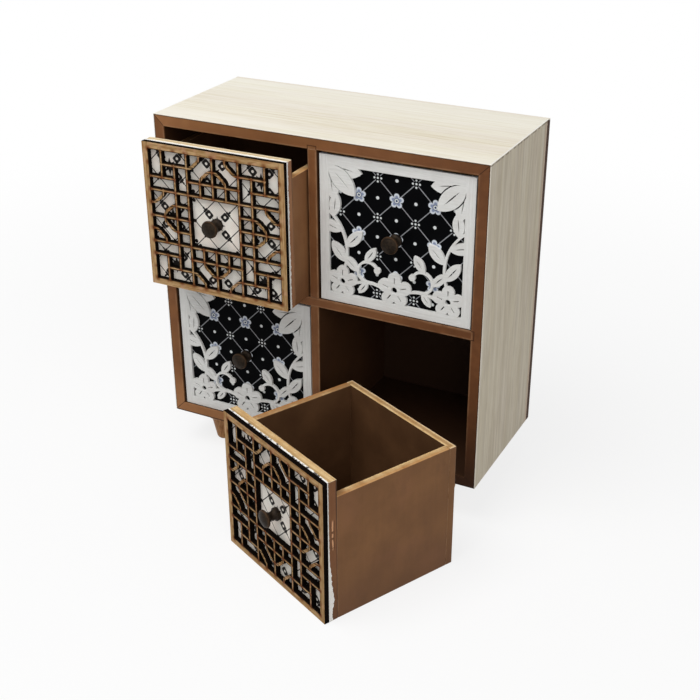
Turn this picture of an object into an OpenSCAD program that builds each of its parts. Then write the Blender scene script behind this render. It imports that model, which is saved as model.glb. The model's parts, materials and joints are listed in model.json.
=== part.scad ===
// Desktop mini drawers: a cabinet with four bays on turned feet.
// Two drawer fronts carry a fretwork lattice and two a white cut-out garland.
// The upper left drawer stands open and the lower right one is taken out and set down in front.
// Millimetres. X runs to the right, Y to the back and Z up.
// The origin lies on the floor under the middle of it all, with the drawer that stands in front.

/* [Cabinet] */
// Width over the paper skin of the sides
cabinet_w = 250; // [200:1:320]
// Depth, with the back panel
cabinet_d = 111; // [90:1:150]
// Height of the carcass, without the feet
carcass_h = 236; // [190:1:300]
// Thickness of the four outer boards
board_t = 7.5; // [6:0.5:12]
// Thickness of the paper skin
wrap_t = 0.5; // [0.3:0.1:0.8]
// Thickness of the shelf and of the divider
inner_t = 6.4; // [5:0.2:10]
// Thickness of the back panel
back_t = 3; // [2:0.5:5]
// Share of the depth at which the shelf and the divider are lapped
lap_share = 0.5; // [0.3:0.05:0.7]
// Clearance in the lap joint, at each side
lap_gap = 0.1; // [0:0.05:0.3]

/* [Feet] */
// Height of a foot under the carcass
foot_h = 28; // [20:1:45]
// Height of a foot's collar
foot_collar_h = 7; // [4:0.5:9]
// Radius of the cove under a foot's collar
foot_cove_r = 0.7; // [0.3:0.1:4]
// Radius of a foot under its cove
foot_ankle_r = 9.3; // [8:0.1:11]
// Radius of a foot at the floor, without the rounding
foot_tip_r = 5.1; // [4.5:0.1:8]
// Radius of the rounding at a foot's tip
foot_tip_round = 3.5; // [2:0.5:4]
// From the side of the cabinet to a foot's axis
foot_inset_x = 30; // [20:1:45]
// From the front or back of the cabinet to a foot's axis
foot_inset_y = 20; // [18:1:35]
// Radius of the spigot on a foot
spigot_r = 4; // [3:0.5:5]
// Height of the spigot on a foot
spigot_h = 5; // [3:0.5:5.5]
// Clearance round a spigot and over it
spigot_gap = 0.1; // [0.05:0.05:0.3]

/* [Back panel nails] */
// Nails along the top and along the bottom
nails_x = 4; // [3:1:7]
// Nails up each side, between the corners
nails_z = 2; // [1:1:4]
// Radius of a nail
nail_r = 0.7; // [0.5:0.1:1]
// Radius of a nail's head
nail_head_r = 1.7; // [1.4:0.1:2.5]
// Thickness of a nail's head, which lies flush in the panel
nail_head_t = 0.7; // [0.5:0.1:1]
// Length of a nail
nail_l = 14; // [10:1:20]
// Clearance round a nail
nail_gap = 0.05; // [0.02:0.01:0.1]

/* [Drawer box] */
// Gap between a drawer and its bay, at each side
side_gap = 1.5; // [0.8:0.1:2.5]
// Gap over the front board of a closed drawer
top_gap = 2.35; // [0.8:0.05:2.5]
// Gap between a drawer and the board that it slides on
glide_gap = 0.3; // [0.2:0.1:0.5]
// Gap behind a closed drawer with the thickest face
back_gap = 0.5; // [0.5:0.5:10]
// How far the walls stay under the top of the front board
wall_drop = 12.5; // [5:0.5:30]
// Thickness of the front board
front_t = 6; // [4:0.5:9]
// Thickness of the side and back walls
wall_t = 5.4; // [4:0.2:8]
// Thickness of the floor
floor_t = 3; // [2:0.5:5]

/* [Drawer face] */
// Thickness of the printed sheet
print_t = 1; // [0.5:0.1:1.5]
// Thickness of the fretwork lattice
lattice_t = 3.5; // [2:0.5:5]
// Width of the lattice's outer rim
lattice_rim = 4.8; // [3:0.1:8]
// Width of the lattice's straight bars
lattice_bar_w = 2.2; // [1.6:0.1:3]
// Width of the lattice's curved bars
lattice_curve_w = 2; // [1.4:0.1:2.6]
// Place of the notch in a curved bar, as a share of the grid step
lattice_notch = 0.63; // [0.58:0.01:0.68]
// Thickness of the cut-out sheet
cutout_t = 2; // [1:0.5:3]
// Width of the cut-out sheet's rim
cutout_rim = 6.8; // [5:0.1:9]
// Width of the cut-out sheet's stems
stem_w = 1.7; // [1.2:0.1:2.4]

/* [Knob and screw] */
// How far a knob stands out from the printed sheet
knob_out = 12.5; // [11:0.5:16]
// Radius of the knob's head
knob_head_r = 6.2; // [5:0.1:8]
// Thickness of the knob's head at its rim
knob_head_t = 2.2; // [1.5:0.1:3]
// Height of the dome on the knob's head
knob_dome_h = 1.3; // [0.6:0.1:2]
// Radius of the knob's waist
knob_waist_r = 2.9; // [2.7:0.1:3.5]
// Radius of the knob's base
knob_base_r = 4.5; // [4:0.1:5.5]
// Thickness of the knob's base
knob_base_t = 1.4; // [1:0.1:2]
// Radius of the screw
screw_r = 1.9; // [1.5:0.1:2.1]
// Radius of the screw's head
screw_head_r = 3.7; // [3:0.1:4.5]
// Height of the screw's head
screw_head_h = 2.3; // [1.6:0.1:3]
// How far the screw reaches into the knob
screw_grip = 6.5; // [4:0.5:7]
// Clearance round the screw in the boards
screw_gap = 0.2; // [0.1:0.05:0.4]
// Clearance round the screw in the knob
thread_gap = 0.05; // [0.02:0.01:0.1]

/* [Drawers as shown] */
// How far the upper left drawer stands open
open_out = 28.5; // [0:0.5:60]
// How far the closed faces lie behind the carcass's front edge
closed_recess = 1.8; // [0:0.1:2]
// Middle of the taken-out drawer's face, right of the cabinet's middle
taken_out_x = 33.5; // [30:0.5:80]
// Gap between the cabinet's front and the nearest corner of the taken-out drawer
taken_out_gap = 1; // [0.5:0.5:40]
// Turn of the taken-out drawer, clockwise from above
taken_out_turn = 26; // [10:1:35]

/* [Hidden] */
$fn = 64;
cut = 1; // how far a cut runs past the surface that it opens

shell_t = board_t + wrap_t;
carcass_d = cabinet_d - back_t;
front_y = -cabinet_d / 2;
back_y = front_y + carcass_d;
boards_w = cabinet_w - 2 * wrap_t;
boards_h = carcass_h - wrap_t;
ceiling_z = foot_h + boards_h - board_t;
floor_z = foot_h + board_t;

bay_w = (cabinet_w - 2 * shell_t - inner_t) / 2;
bay_h = (ceiling_z - floor_z - inner_t) / 2;
shelf_z = floor_z + bay_h;
bay_x = (inner_t + bay_w) / 2;
lap_y = front_y + lap_share * carcass_d;

face_w = bay_w - 2 * side_gap;
face_h = bay_h - glide_gap - top_gap;
wall_h = face_h - wall_drop;
knob_z = face_h / 2;

// Thickness of a drawer's face: the printed sheet and what lies on it
function face_t(kind) = print_t + (kind == "lattice" ? lattice_t : cutout_t);

// From the face of the front board to the back of the box
drawer_d = carcass_d - closed_recess - max(face_t("lattice"), face_t("cutout")) - back_gap;
// From the cabinet's front to the middle of the taken-out drawer's face
taken_out_y = taken_out_gap + face_w / 2 * sin(taken_out_turn)
    + (drawer_d + face_t("lattice")) * cos(taken_out_turn);

// One row for each drawer: name, kind of face, place of the face's lower middle, turn
LOWER_Z = floor_z + glide_gap;
UPPER_Z = shelf_z + inner_t + glide_gap;
DRAWERS = [
    ["upper_left", "lattice", [-bay_x, front_y - open_out, UPPER_Z], 0],
    ["upper_right", "cutout", [bay_x, front_y + closed_recess, UPPER_Z], 0],
    ["lower_left", "cutout", [-bay_x, front_y + closed_recess, LOWER_Z], 0],
    ["lower_right", "lattice", [taken_out_x, front_y - taken_out_y, 0], -taken_out_turn]
];

// The origin's place from the floor under the middle of the cabinet
model_right = max(cabinet_w / 2, taken_out_x + face_w / 2 * cos(taken_out_turn)
    + (drawer_d + face_t("lattice")) * sin(taken_out_turn));
model_front = front_y - taken_out_y - face_w / 2 * sin(taken_out_turn);
ORIGIN = [(model_right - cabinet_w / 2) / 2, (model_front + cabinet_d / 2) / 2, 0];

PIECES = ["front", "left_wall", "right_wall", "back_wall", "floor", "print", "overlay", "knob", "screw"];
FEET = [
    ["foot_front_left", [-1, -1]],
    ["foot_front_right", [1, -1]],
    ["foot_back_left", [-1, 1]],
    ["foot_back_right", [1, 1]]
];
CARCASS = [
    "top_panel", "bottom_panel", "left_side_panel", "right_side_panel", "outer_wrap",
    "middle_shelf", "centre_divider", "back_panel", "back_panel_nails"
];

// ---- Shared shapes ----

// A flat shape drawn in X and Z, given thickness towards the back
module slab(thickness) {
    translate([0, thickness, 0]) rotate([90, 0, 0]) linear_extrude(thickness) children();
}

// A curved bar: part of a ring round the origin, from one angle to another
module arc_bar(radius, width, from, to) {
    reach = 2 * radius + width;
    middle = (from + to) / 2;
    intersection() {
        difference() {
            circle(radius + width / 2);
            circle(radius - width / 2);
        }
        polygon([[0, 0], reach * [cos(from), sin(from)], reach * [cos(middle), sin(middle)],
            reach * [cos(to), sin(to)]]);
    }
}

// ---- Carcass ----

// A board with both ends cut at 45 degrees: its outer face is up, at height 0
module mitred_board(length) {
    translate([0, front_y, 0]) slab(carcass_d)
        polygon([[-length / 2, 0], [length / 2, 0],
            [length / 2 - board_t, -board_t], [-length / 2 + board_t, -board_t]]);
}

// Places of the nails, seen from behind: along the boards' middles and up the divider
NAIL_X = boards_w / 2 - board_t / 2;
NAIL_LOW = foot_h + board_t / 2;
NAIL_HIGH = foot_h + boards_h - board_t / 2;
NAIL_END = board_t * 2;
nail_span_x = 2 * (NAIL_X - NAIL_END);
nail_span_z = NAIL_HIGH - NAIL_LOW;
shelf_mid = shelf_z + inner_t / 2;
shelf_nail_x = bay_x;
NAILS = concat(
    [for (i = [0 : nails_x - 1], z = [NAIL_LOW, NAIL_HIGH])
        [-nail_span_x / 2 + i * nail_span_x / (nails_x - 1), z]],
    [for (i = [1 : nails_z], side = [-1, 1])
        [side * NAIL_X, NAIL_LOW + i * nail_span_z / (nails_z + 1)]],
    [for (side = [-1, 1]) [side * shelf_nail_x, shelf_mid]]
);

// The nails' bores, a little wider and longer than the nails
module nail_bores() {
    for (place = NAILS) translate([place[0], back_y + back_t, place[1]]) rotate([90, 0, 0]) {
        translate([0, 0, -cut]) cylinder(r = nail_r + nail_gap, h = nail_l + nail_gap + cut);
        translate([0, 0, -cut]) cylinder(r = nail_head_r + nail_gap, h = nail_head_t + cut);
    }
}

module back_panel_nails() {
    color("gray")
        for (place = NAILS) translate([place[0], back_y + back_t, place[1]]) rotate([90, 0, 0]) {
            cylinder(r = nail_r, h = nail_l);
            cylinder(r = nail_head_r, h = nail_head_t);
        }
}

module top_panel() {
    color("sienna") difference() {
        translate([0, 0, foot_h + boards_h]) mitred_board(boards_w);
        nail_bores();
    }
}

module bottom_panel() {
    color("sienna") difference() {
        translate([0, 0, foot_h]) mirror([0, 0, 1]) mitred_board(boards_w);
        nail_bores();
        for (foot = FEET) at_foot(foot[1])
            translate([0, 0, foot_h - cut])
                cylinder(r = spigot_r + spigot_gap, h = spigot_h + spigot_gap + cut);
    }
}

// side is -1 on the left and 1 on the right
module side_panel(side) {
    color("sienna") difference() {
        translate([side * boards_w / 2, 0, foot_h + boards_h / 2]) rotate([0, side * 90, 0])
            mitred_board(boards_h);
        nail_bores();
    }
}

module outer_wrap() {
    color("antiquewhite") translate([0, front_y, foot_h]) slab(carcass_d) difference() {
        translate([-cabinet_w / 2, 0]) square([cabinet_w, carcass_h]);
        translate([-boards_w / 2, -cut]) square([boards_w, boards_h + cut]);
    }
}

module middle_shelf() {
    shelf_w = cabinet_w - 2 * shell_t;
    slot_w = inner_t + 2 * lap_gap;
    color("saddlebrown") difference() {
        translate([-shelf_w / 2, front_y, shelf_z]) cube([shelf_w, carcass_d, inner_t]);
        translate([-slot_w / 2, lap_y, shelf_z - cut]) cube([slot_w, carcass_d, inner_t + 2 * cut]);
        nail_bores();
    }
}

module centre_divider() {
    slot_h = inner_t + 2 * lap_gap;
    slot_end = lap_y + lap_gap;
    color("saddlebrown") difference() {
        translate([-inner_t / 2, front_y, floor_z]) cube([inner_t, carcass_d, ceiling_z - floor_z]);
        translate([-inner_t / 2 - cut, front_y - cut, shelf_z - lap_gap])
            cube([inner_t + 2 * cut, slot_end - front_y + cut, slot_h]);
        nail_bores();
    }
}

module back_panel() {
    color("saddlebrown") difference() {
        translate([-cabinet_w / 2, back_y, foot_h]) cube([cabinet_w, back_t, carcass_h]);
        nail_bores();
    }
}

// ---- Feet ----

module at_foot(corner) {
    translate([corner[0] * (cabinet_w / 2 - foot_inset_x), corner[1] * (cabinet_d / 2 - foot_inset_y), 0])
        children();
}

// Half section of a foot: a rounded tip, a tapered leg, a cove and a beaded collar
module foot_section() {
    collar_z = foot_h - foot_collar_h;
    bead_r = foot_collar_h / 2;
    collar_r = foot_ankle_r + foot_cove_r;
    lean = atan((foot_ankle_r - foot_tip_r) / collar_z);
    tangent_z = foot_tip_round * (1 - sin(lean));
    tangent_r = foot_tip_r + tangent_z * tan(lean);
    tip_x = tangent_r - foot_tip_round * cos(lean);
    square([tip_x, foot_tip_round]);
    intersection() {
        translate([tip_x, foot_tip_round]) circle(foot_tip_round);
        square([foot_ankle_r, foot_tip_round]);
    }
    polygon([[0, tangent_z], [tangent_r, tangent_z], [foot_ankle_r, collar_z], [0, collar_z]]);
    difference() {
        translate([0, collar_z - foot_cove_r]) square([collar_r, foot_cove_r]);
        translate([collar_r, collar_z - foot_cove_r]) circle(foot_cove_r);
    }
    translate([0, collar_z]) square([collar_r, foot_collar_h]);
    translate([collar_r, collar_z + bead_r]) circle(bead_r);
}

module foot(corner) {
    color("sienna") at_foot(corner) {
        rotate_extrude() foot_section();
        translate([0, 0, foot_h - cut]) cylinder(r = spigot_r, h = spigot_h + cut);
    }
}

// ---- Drawer box, drawn with the front board's face at Y 0 and its lower middle at the origin ----

module screw_bore() {
    translate([0, -print_t - cut, knob_z]) rotate([-90, 0, 0])
        cylinder(r = screw_r + screw_gap, h = print_t + front_t + 2 * cut);
}

module drawer_front() {
    color("peru") difference() {
        translate([-face_w / 2, 0, 0]) cube([face_w, front_t, face_h]);
        screw_bore();
    }
}

// side is -1 on the left and 1 on the right
module drawer_side(side) {
    color("sienna") translate([side * (face_w - wall_t) / 2 - wall_t / 2, front_t, 0])
        cube([wall_t, drawer_d - front_t - wall_t, wall_h]);
}

module drawer_back() {
    color("sienna") translate([-face_w / 2, drawer_d - wall_t, 0]) cube([face_w, wall_t, wall_h]);
}

module drawer_floor() {
    floor_w = face_w - 2 * wall_t;
    color("sienna") translate([-floor_w / 2, front_t, 0])
        cube([floor_w, drawer_d - front_t - wall_t, floor_t]);
}

module drawer_print(kind) {
    color(kind == "lattice" ? "whitesmoke" : "black") difference() {
        translate([-face_w / 2, -print_t, 0]) cube([face_w, print_t, face_h]);
        screw_bore();
    }
}

// ---- Fretwork lattice, drawn round the middle of the face on a grid of ten by ten steps ----

step_x = (face_w - 2 * lattice_rim) / 10;
step_z = (face_h - 2 * lattice_rim) / 10;

// A straight bar between two grid points, from lower left to upper right
module lattice_bar(low, high) {
    translate([low[0] * step_x - lattice_bar_w / 2, low[1] * step_z - lattice_bar_w / 2])
        square([(high[0] - low[0]) * step_x + lattice_bar_w, (high[1] - low[1]) * step_z + lattice_bar_w]);
}

// A quarter turn round a grid point, of two lobes that meet in a notch
module lattice_curve(point, flip_x, flip_z) {
    notch = [lattice_notch * step_x, lattice_notch * step_z];
    lobe_x = (pow(step_x - notch[0], 2) + pow(notch[1], 2)) / (2 * (step_x - notch[0]));
    lobe_z = (pow(step_z - notch[1], 2) + pow(notch[0], 2)) / (2 * (step_z - notch[1]));
    overlap = 3;
    angle_x = atan2(notch[1], notch[0] - step_x + lobe_x) + overlap;
    angle_z = atan2(notch[1] - step_z + lobe_z, notch[0]) - overlap;
    translate([point[0] * step_x, point[1] * step_z]) mirror([flip_x, 0]) mirror([0, flip_z]) {
        translate([step_x - lobe_x, 0]) arc_bar(lobe_x, lattice_curve_w, 0, angle_x);
        translate([0, step_z - lobe_z]) arc_bar(lobe_z, lattice_curve_w, angle_z, 90);
    }
}

// The upper left quarter of the pattern. Grid points count from the middle of the face.
module lattice_quarter() {
    // Long bars round the middle opening
    lattice_bar([-2, 0], [-2, 5]);
    lattice_bar([-5, 2], [0, 2]);
    // Pinwheel in the corner
    lattice_bar([-4, 3], [-4, 5]);
    lattice_bar([-4, 4], [-2, 4]);
    lattice_bar([-3, 2], [-3, 4]);
    lattice_bar([-5, 3], [-3, 3]);
    // Half of the field over the middle opening
    lattice_bar([0, 2], [0, 5]);
    lattice_bar([-2, 3], [0, 3]);
    lattice_bar([-1, 2], [-1, 3]);
    lattice_curve([-2, 5], 0, 1);
    lattice_curve([0, 3], 1, 0);
    // Half of the field beside it
    lattice_bar([-5, 0], [-2, 0]);
    lattice_bar([-3, 0], [-3, 2]);
    lattice_bar([-3, 1], [-2, 1]);
    lattice_curve([-5, 2], 0, 1);
    lattice_curve([-3, 0], 1, 0);
}

module face_rim(rim) {
    difference() {
        square([face_w, face_h], center = true);
        square([face_w - 2 * rim, face_h - 2 * rim], center = true);
    }
}

module lattice_overlay() {
    color("burlywood") translate([0, -print_t - lattice_t, knob_z]) slab(lattice_t) {
        face_rim(lattice_rim);
        for (flip_x = [0, 1], flip_z = [0, 1]) mirror([flip_x, 0]) mirror([0, flip_z])
            lattice_quarter();
    }
}

// ---- Cut-out garland, drawn round the middle of the face ----

leaf_w_share = 0.48; // a leaf's width over its length
vein_w = 0.8;
vein_share = 0.56; // a vein's length over its leaf's

// A pointed oval from the origin along X
module lens(length, width) {
    radius = (length * length + width * width) / (4 * width);
    intersection() {
        translate([length / 2, radius - width / 2]) circle(radius);
        translate([length / 2, width / 2 - radius]) circle(radius);
    }
}

// A leaf from the origin along X, with its vein cut out
module leaf(length) {
    difference() {
        lens(length, leaf_w_share * length);
        translate([(1 - vein_share) * length / 2, 0]) lens(vein_share * length, vein_w);
    }
}

// A fan of three leaves from the origin: the longest along X, and one at each side behind it
module leaf_fan(length, spread) {
    leaf(length);
    difference() {
        for (side = [-1, 1]) rotate(side * spread) leaf(0.9 * length);
        translate([-vein_w, 0]) lens(length + 2 * vein_w, leaf_w_share * length + 2 * vein_w);
    }
}

// A five-petalled blossom round the origin
module blossom(radius) {
    petal_r = 0.38 * radius;
    difference() {
        union() {
            circle(0.45 * radius);
            for (i = [0 : 4]) rotate(90 + 72 * i) translate([radius - petal_r, 0]) circle(petal_r);
        }
        circle(0.17 * radius);
        for (i = [0 : 4]) rotate(90 + 72 * i) translate([0.36 * radius, -vein_w / 2])
            square([0.36 * radius, vein_w]);
    }
}

// A stem from one point to another, bowed to its left by rise, with leaves on both sides in turn
module sprig(from, to, rise, leaves, leaf_l) {
    way = to - from;
    span = norm(way);
    radius = (span * span / 4 + rise * rise) / (2 * abs(rise));
    half_turn = asin(span / 2 / radius);
    splay = 50;
    translate(from) rotate(atan2(way[1], way[0])) mirror([0, rise < 0 ? 1 : 0])
        translate([span / 2, abs(rise) - radius]) {
            arc_bar(radius, stem_w, 90 - half_turn, 90 + half_turn);
            for (i = [0 : leaves - 1]) {
                at = 90 + half_turn - (i + 0.5) * 2 * half_turn / leaves;
                side = i % 2 == 0 ? -1 : 1;
                rotate(at) translate([radius, 0]) rotate(-90 + side * splay) leaf(leaf_l);
            }
        }
}

// A tendril that curls up from the origin to the left, with a bud at its end and two leaves
module tendril(radius) {
    curl = 250;
    translate([0, radius]) {
        for (half = [0, 1]) arc_bar(radius, stem_w, -90 + half * curl / 2, -90 + (half + 1) * curl / 2);
        rotate(curl - 90) translate([radius, 0]) circle(0.32 * radius);
        for (turn = [-5, 75]) rotate(turn) translate([radius, 0]) rotate(50) leaf(1.8 * radius);
    }
}

// Sizes of the window that the garland grows in, from its middle to its rim
win_x = face_w / 2 - cutout_rim;
win_z = face_h / 2 - cutout_rim;
middle_blossom_r = 12.5;
corner_blossom_r = 11.5;
MIDDLE_BLOSSOM = [0, 0.8 * middle_blossom_r - win_z];
CORNER_BLOSSOM = [win_x - 0.85 * corner_blossom_r, 0.8 * corner_blossom_r - win_z];

// Right half of the garland: stems along the bottom and up the side, a tendril and a corner fan
module half_garland() {
    bottom_start = MIDDLE_BLOSSOM + [0.8 * middle_blossom_r, 0];
    bottom_end = CORNER_BLOSSOM - [0.8 * corner_blossom_r, 0];
    side_start = CORNER_BLOSSOM + [-0.1 * corner_blossom_r, 0.8 * corner_blossom_r];
    side_end = [win_x + stem_w / 2, 0.3 * win_z];
    sprig(bottom_start, bottom_end, 2, 1, 11);
    sprig(side_start, side_end, 7, 4, 17);
    translate((bottom_start + bottom_end) / 2 + [0, 2]) tendril(7.5);
    translate(CORNER_BLOSSOM) blossom(corner_blossom_r);
    translate([win_x, win_z]) rotate(225) leaf_fan(27, 37);
}

module garland() {
    translate(MIDDLE_BLOSSOM) blossom(middle_blossom_r);
    for (flip = [0, 1]) mirror([flip, 0]) half_garland();
}

module cutout_overlay() {
    color("white") translate([0, -print_t - cutout_t, knob_z]) slab(cutout_t) {
        face_rim(cutout_rim);
        intersection() {
            garland();
            square([face_w - cutout_rim, face_h - cutout_rim], center = true);
        }
    }
}

module drawer_overlay(kind) {
    if (kind == "lattice") lattice_overlay();
    else cutout_overlay();
}

// ---- Knob and screw, drawn along Z from the printed sheet outwards ----

// Half section of a knob: base, waist, and a head with a round rim and a dome
module knob_section() {
    rim_z = knob_out - knob_dome_h - knob_head_t;
    rim_r = knob_head_t / 2;
    waist_h = rim_z - knob_base_t;
    dome_edge = knob_head_r - rim_r;
    dome_r = (dome_edge * dome_edge + knob_dome_h * knob_dome_h) / (2 * knob_dome_h);
    square([knob_base_r, knob_base_t]);
    difference() {
        translate([0, knob_base_t]) square([knob_base_r, waist_h]);
        translate([knob_waist_r + waist_h / 2, knob_base_t + waist_h / 2]) circle(waist_h / 2);
    }
    translate([0, rim_z]) square([dome_edge, knob_head_t]);
    translate([dome_edge, rim_z + rim_r]) circle(rim_r);
    intersection() {
        translate([0, knob_out - dome_r]) circle(dome_r);
        translate([0, rim_z + knob_head_t]) square([dome_edge, knob_dome_h]);
    }
}

module drawer_knob() {
    color("dimgray") translate([0, -print_t, knob_z]) rotate([90, 0, 0]) difference() {
        rotate_extrude() knob_section();
        translate([0, 0, -cut])
            cylinder(r = screw_r + thread_gap, h = screw_grip + thread_gap + cut);
    }
}

module drawer_screw() {
    recess_l = 1.2 * screw_head_r;
    recess_w = 0.8;
    color("silver") translate([0, front_t, knob_z]) rotate([90, 0, 0]) difference() {
        union() {
            cylinder(r = screw_r, h = front_t + print_t + screw_grip);
            translate([0, 0, -screw_head_h]) cylinder(r = screw_head_r, h = screw_head_h);
        }
        for (turn = [0, 90]) rotate(turn)
            translate([-recess_l / 2, -recess_w / 2, -screw_head_h - cut])
                cube([recess_l, recess_w, screw_head_h / 2 + cut]);
    }
}

// ---- Drawers in place ----

module at_drawer(drawer) {
    translate(drawer[2]) rotate(drawer[3]) translate([0, face_t(drawer[1]), 0]) children();
}

module drawer_piece(drawer, piece) {
    at_drawer(drawer) {
        if (piece == "front") drawer_front();
        if (piece == "left_wall") drawer_side(-1);
        if (piece == "right_wall") drawer_side(1);
        if (piece == "back_wall") drawer_back();
        if (piece == "floor") drawer_floor();
        if (piece == "print") drawer_print(drawer[1]);
        if (piece == "overlay") drawer_overlay(drawer[1]);
        if (piece == "knob") drawer_knob();
        if (piece == "screw") drawer_screw();
    }
}

// Puts the origin where it belongs
module placed() {
    translate(-ORIGIN) children();
}

placed() top_panel();
placed() bottom_panel();
placed() side_panel(-1);  // left_side_panel
placed() side_panel(1);  // right_side_panel
placed() outer_wrap();
placed() middle_shelf();
placed() centre_divider();
placed() back_panel();
placed() back_panel_nails();
for (f = FEET)
    placed() foot(f[1]);
for (d = DRAWERS, p = PIECES)
    placed() drawer_piece(d, p);
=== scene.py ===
"""Looks of the desktop mini drawers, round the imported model: finishes, torn paper, light and camera.

Lengths are metres, in the frame of the model. Grain and printed patterns are drawn in millimetres, in
the frame of the cabinet or of the drawer that they lie on, so they fit it wherever it stands. There x
runs from the middle to the right, y from the front towards the back, and z up: from the floor for the
cabinet, and from the middle of the face for a drawer.
"""

import json
import math
import random

import bmesh
import bpy
from mathutils import Matrix, Vector


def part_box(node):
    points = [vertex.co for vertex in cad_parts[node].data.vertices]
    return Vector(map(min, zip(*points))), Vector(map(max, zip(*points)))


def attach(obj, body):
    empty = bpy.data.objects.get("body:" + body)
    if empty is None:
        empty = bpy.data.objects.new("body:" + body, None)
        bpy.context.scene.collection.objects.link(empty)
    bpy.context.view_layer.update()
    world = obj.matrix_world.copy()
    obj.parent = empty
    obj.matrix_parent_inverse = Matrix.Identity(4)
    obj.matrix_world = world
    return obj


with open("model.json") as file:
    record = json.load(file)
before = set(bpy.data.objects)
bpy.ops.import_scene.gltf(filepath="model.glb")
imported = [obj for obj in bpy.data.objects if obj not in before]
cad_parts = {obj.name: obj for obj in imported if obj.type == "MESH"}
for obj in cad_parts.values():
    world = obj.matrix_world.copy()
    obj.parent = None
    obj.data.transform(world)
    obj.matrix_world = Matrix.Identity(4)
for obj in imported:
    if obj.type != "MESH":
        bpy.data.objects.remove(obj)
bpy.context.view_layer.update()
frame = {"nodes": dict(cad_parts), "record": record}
NODES = frame["nodes"]
BODIES = frame["record"]["behaviour"]["bodies"]
DRAWERS = ("upper_left", "upper_right", "lower_left", "lower_right")
OPEN_DRAWER = "upper_left"  # paler in the photo, where it stands in the light
OUT_DRAWER = "lower_right"
LATTICE_DRAWERS = (OPEN_DRAWER, OUT_DRAWER)
MM = 0.001


# ---- Places, taken from the model ----

def size_of(node):
    low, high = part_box(node)
    return high - low


def middle_of(node):
    low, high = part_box(node)
    return (low + high) / 2


# An unturned front board, wall and printed sheet give the sizes that all four drawers share
FRONT_SIZE = size_of("upper_left_front")
FACE_W = FRONT_SIZE.x / MM
FACE_H = FRONT_SIZE.z / MM
FRONT_T = FRONT_SIZE.y / MM
WALL_T = size_of("upper_left_left_wall").x / MM
PRINT_T = size_of("upper_left_print").y / MM
WALL_TOP = size_of("upper_left_left_wall").z / MM - FACE_H / 2
BOX_BACK = (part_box("upper_left_back_wall")[0].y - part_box("upper_left_front")[0].y) / MM


def drawer_place(drawer):
    """The middle of the front board's face and the drawer's turn about Z.

    The overlay lies straight in front of the board, so the way to its middle gives the turn.
    """
    board = middle_of(drawer + "_front")
    ahead = middle_of(drawer + "_overlay") - board
    ahead.normalize()
    return board + ahead * FRONT_SIZE.y / 2, math.atan2(ahead.x, -ahead.y)


CABINET_LOW, CABINET_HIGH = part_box("outer_wrap")
CABINET_PLACE = (Vector(((CABINET_LOW.x + CABINET_HIGH.x) / 2, CABINET_LOW.y, 0)), 0)
CABINET_HALF_W = (CABINET_HIGH.x - CABINET_LOW.x) / 2 / MM
CABINET_TOP = CABINET_HIGH.z / MM
CABINET_BASE = CABINET_LOW.z / MM
CABINET_DEPTH = (CABINET_HIGH.y - CABINET_LOW.y) / MM
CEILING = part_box("top_panel")[0].z / MM
SHELL_T = CABINET_TOP - CEILING
WRAP_T = CABINET_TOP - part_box("top_panel")[1].z / MM
SHELF_MIDDLE = middle_of("middle_shelf").z / MM
INNER_T = size_of("middle_shelf").z / MM


# ---- Short ways to write node trees ----

SEED_SHIFT = (7.3, 3.1, 5.7)  # how far one seed moves a noise, in blobs


class Value:
    """A number that a node gives. Arithmetic on it adds Math nodes to its tree."""

    def __init__(self, graph, socket):
        self.graph = graph
        self.socket = socket

    def __add__(self, other):
        return self.graph.math("ADD", self, other)

    def __sub__(self, other):
        return self.graph.math("SUBTRACT", self, other)

    def __rsub__(self, other):
        return self.graph.math("SUBTRACT", other, self)

    def __mul__(self, other):
        return self.graph.math("MULTIPLY", self, other)

    __radd__ = __add__
    __rmul__ = __mul__


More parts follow.
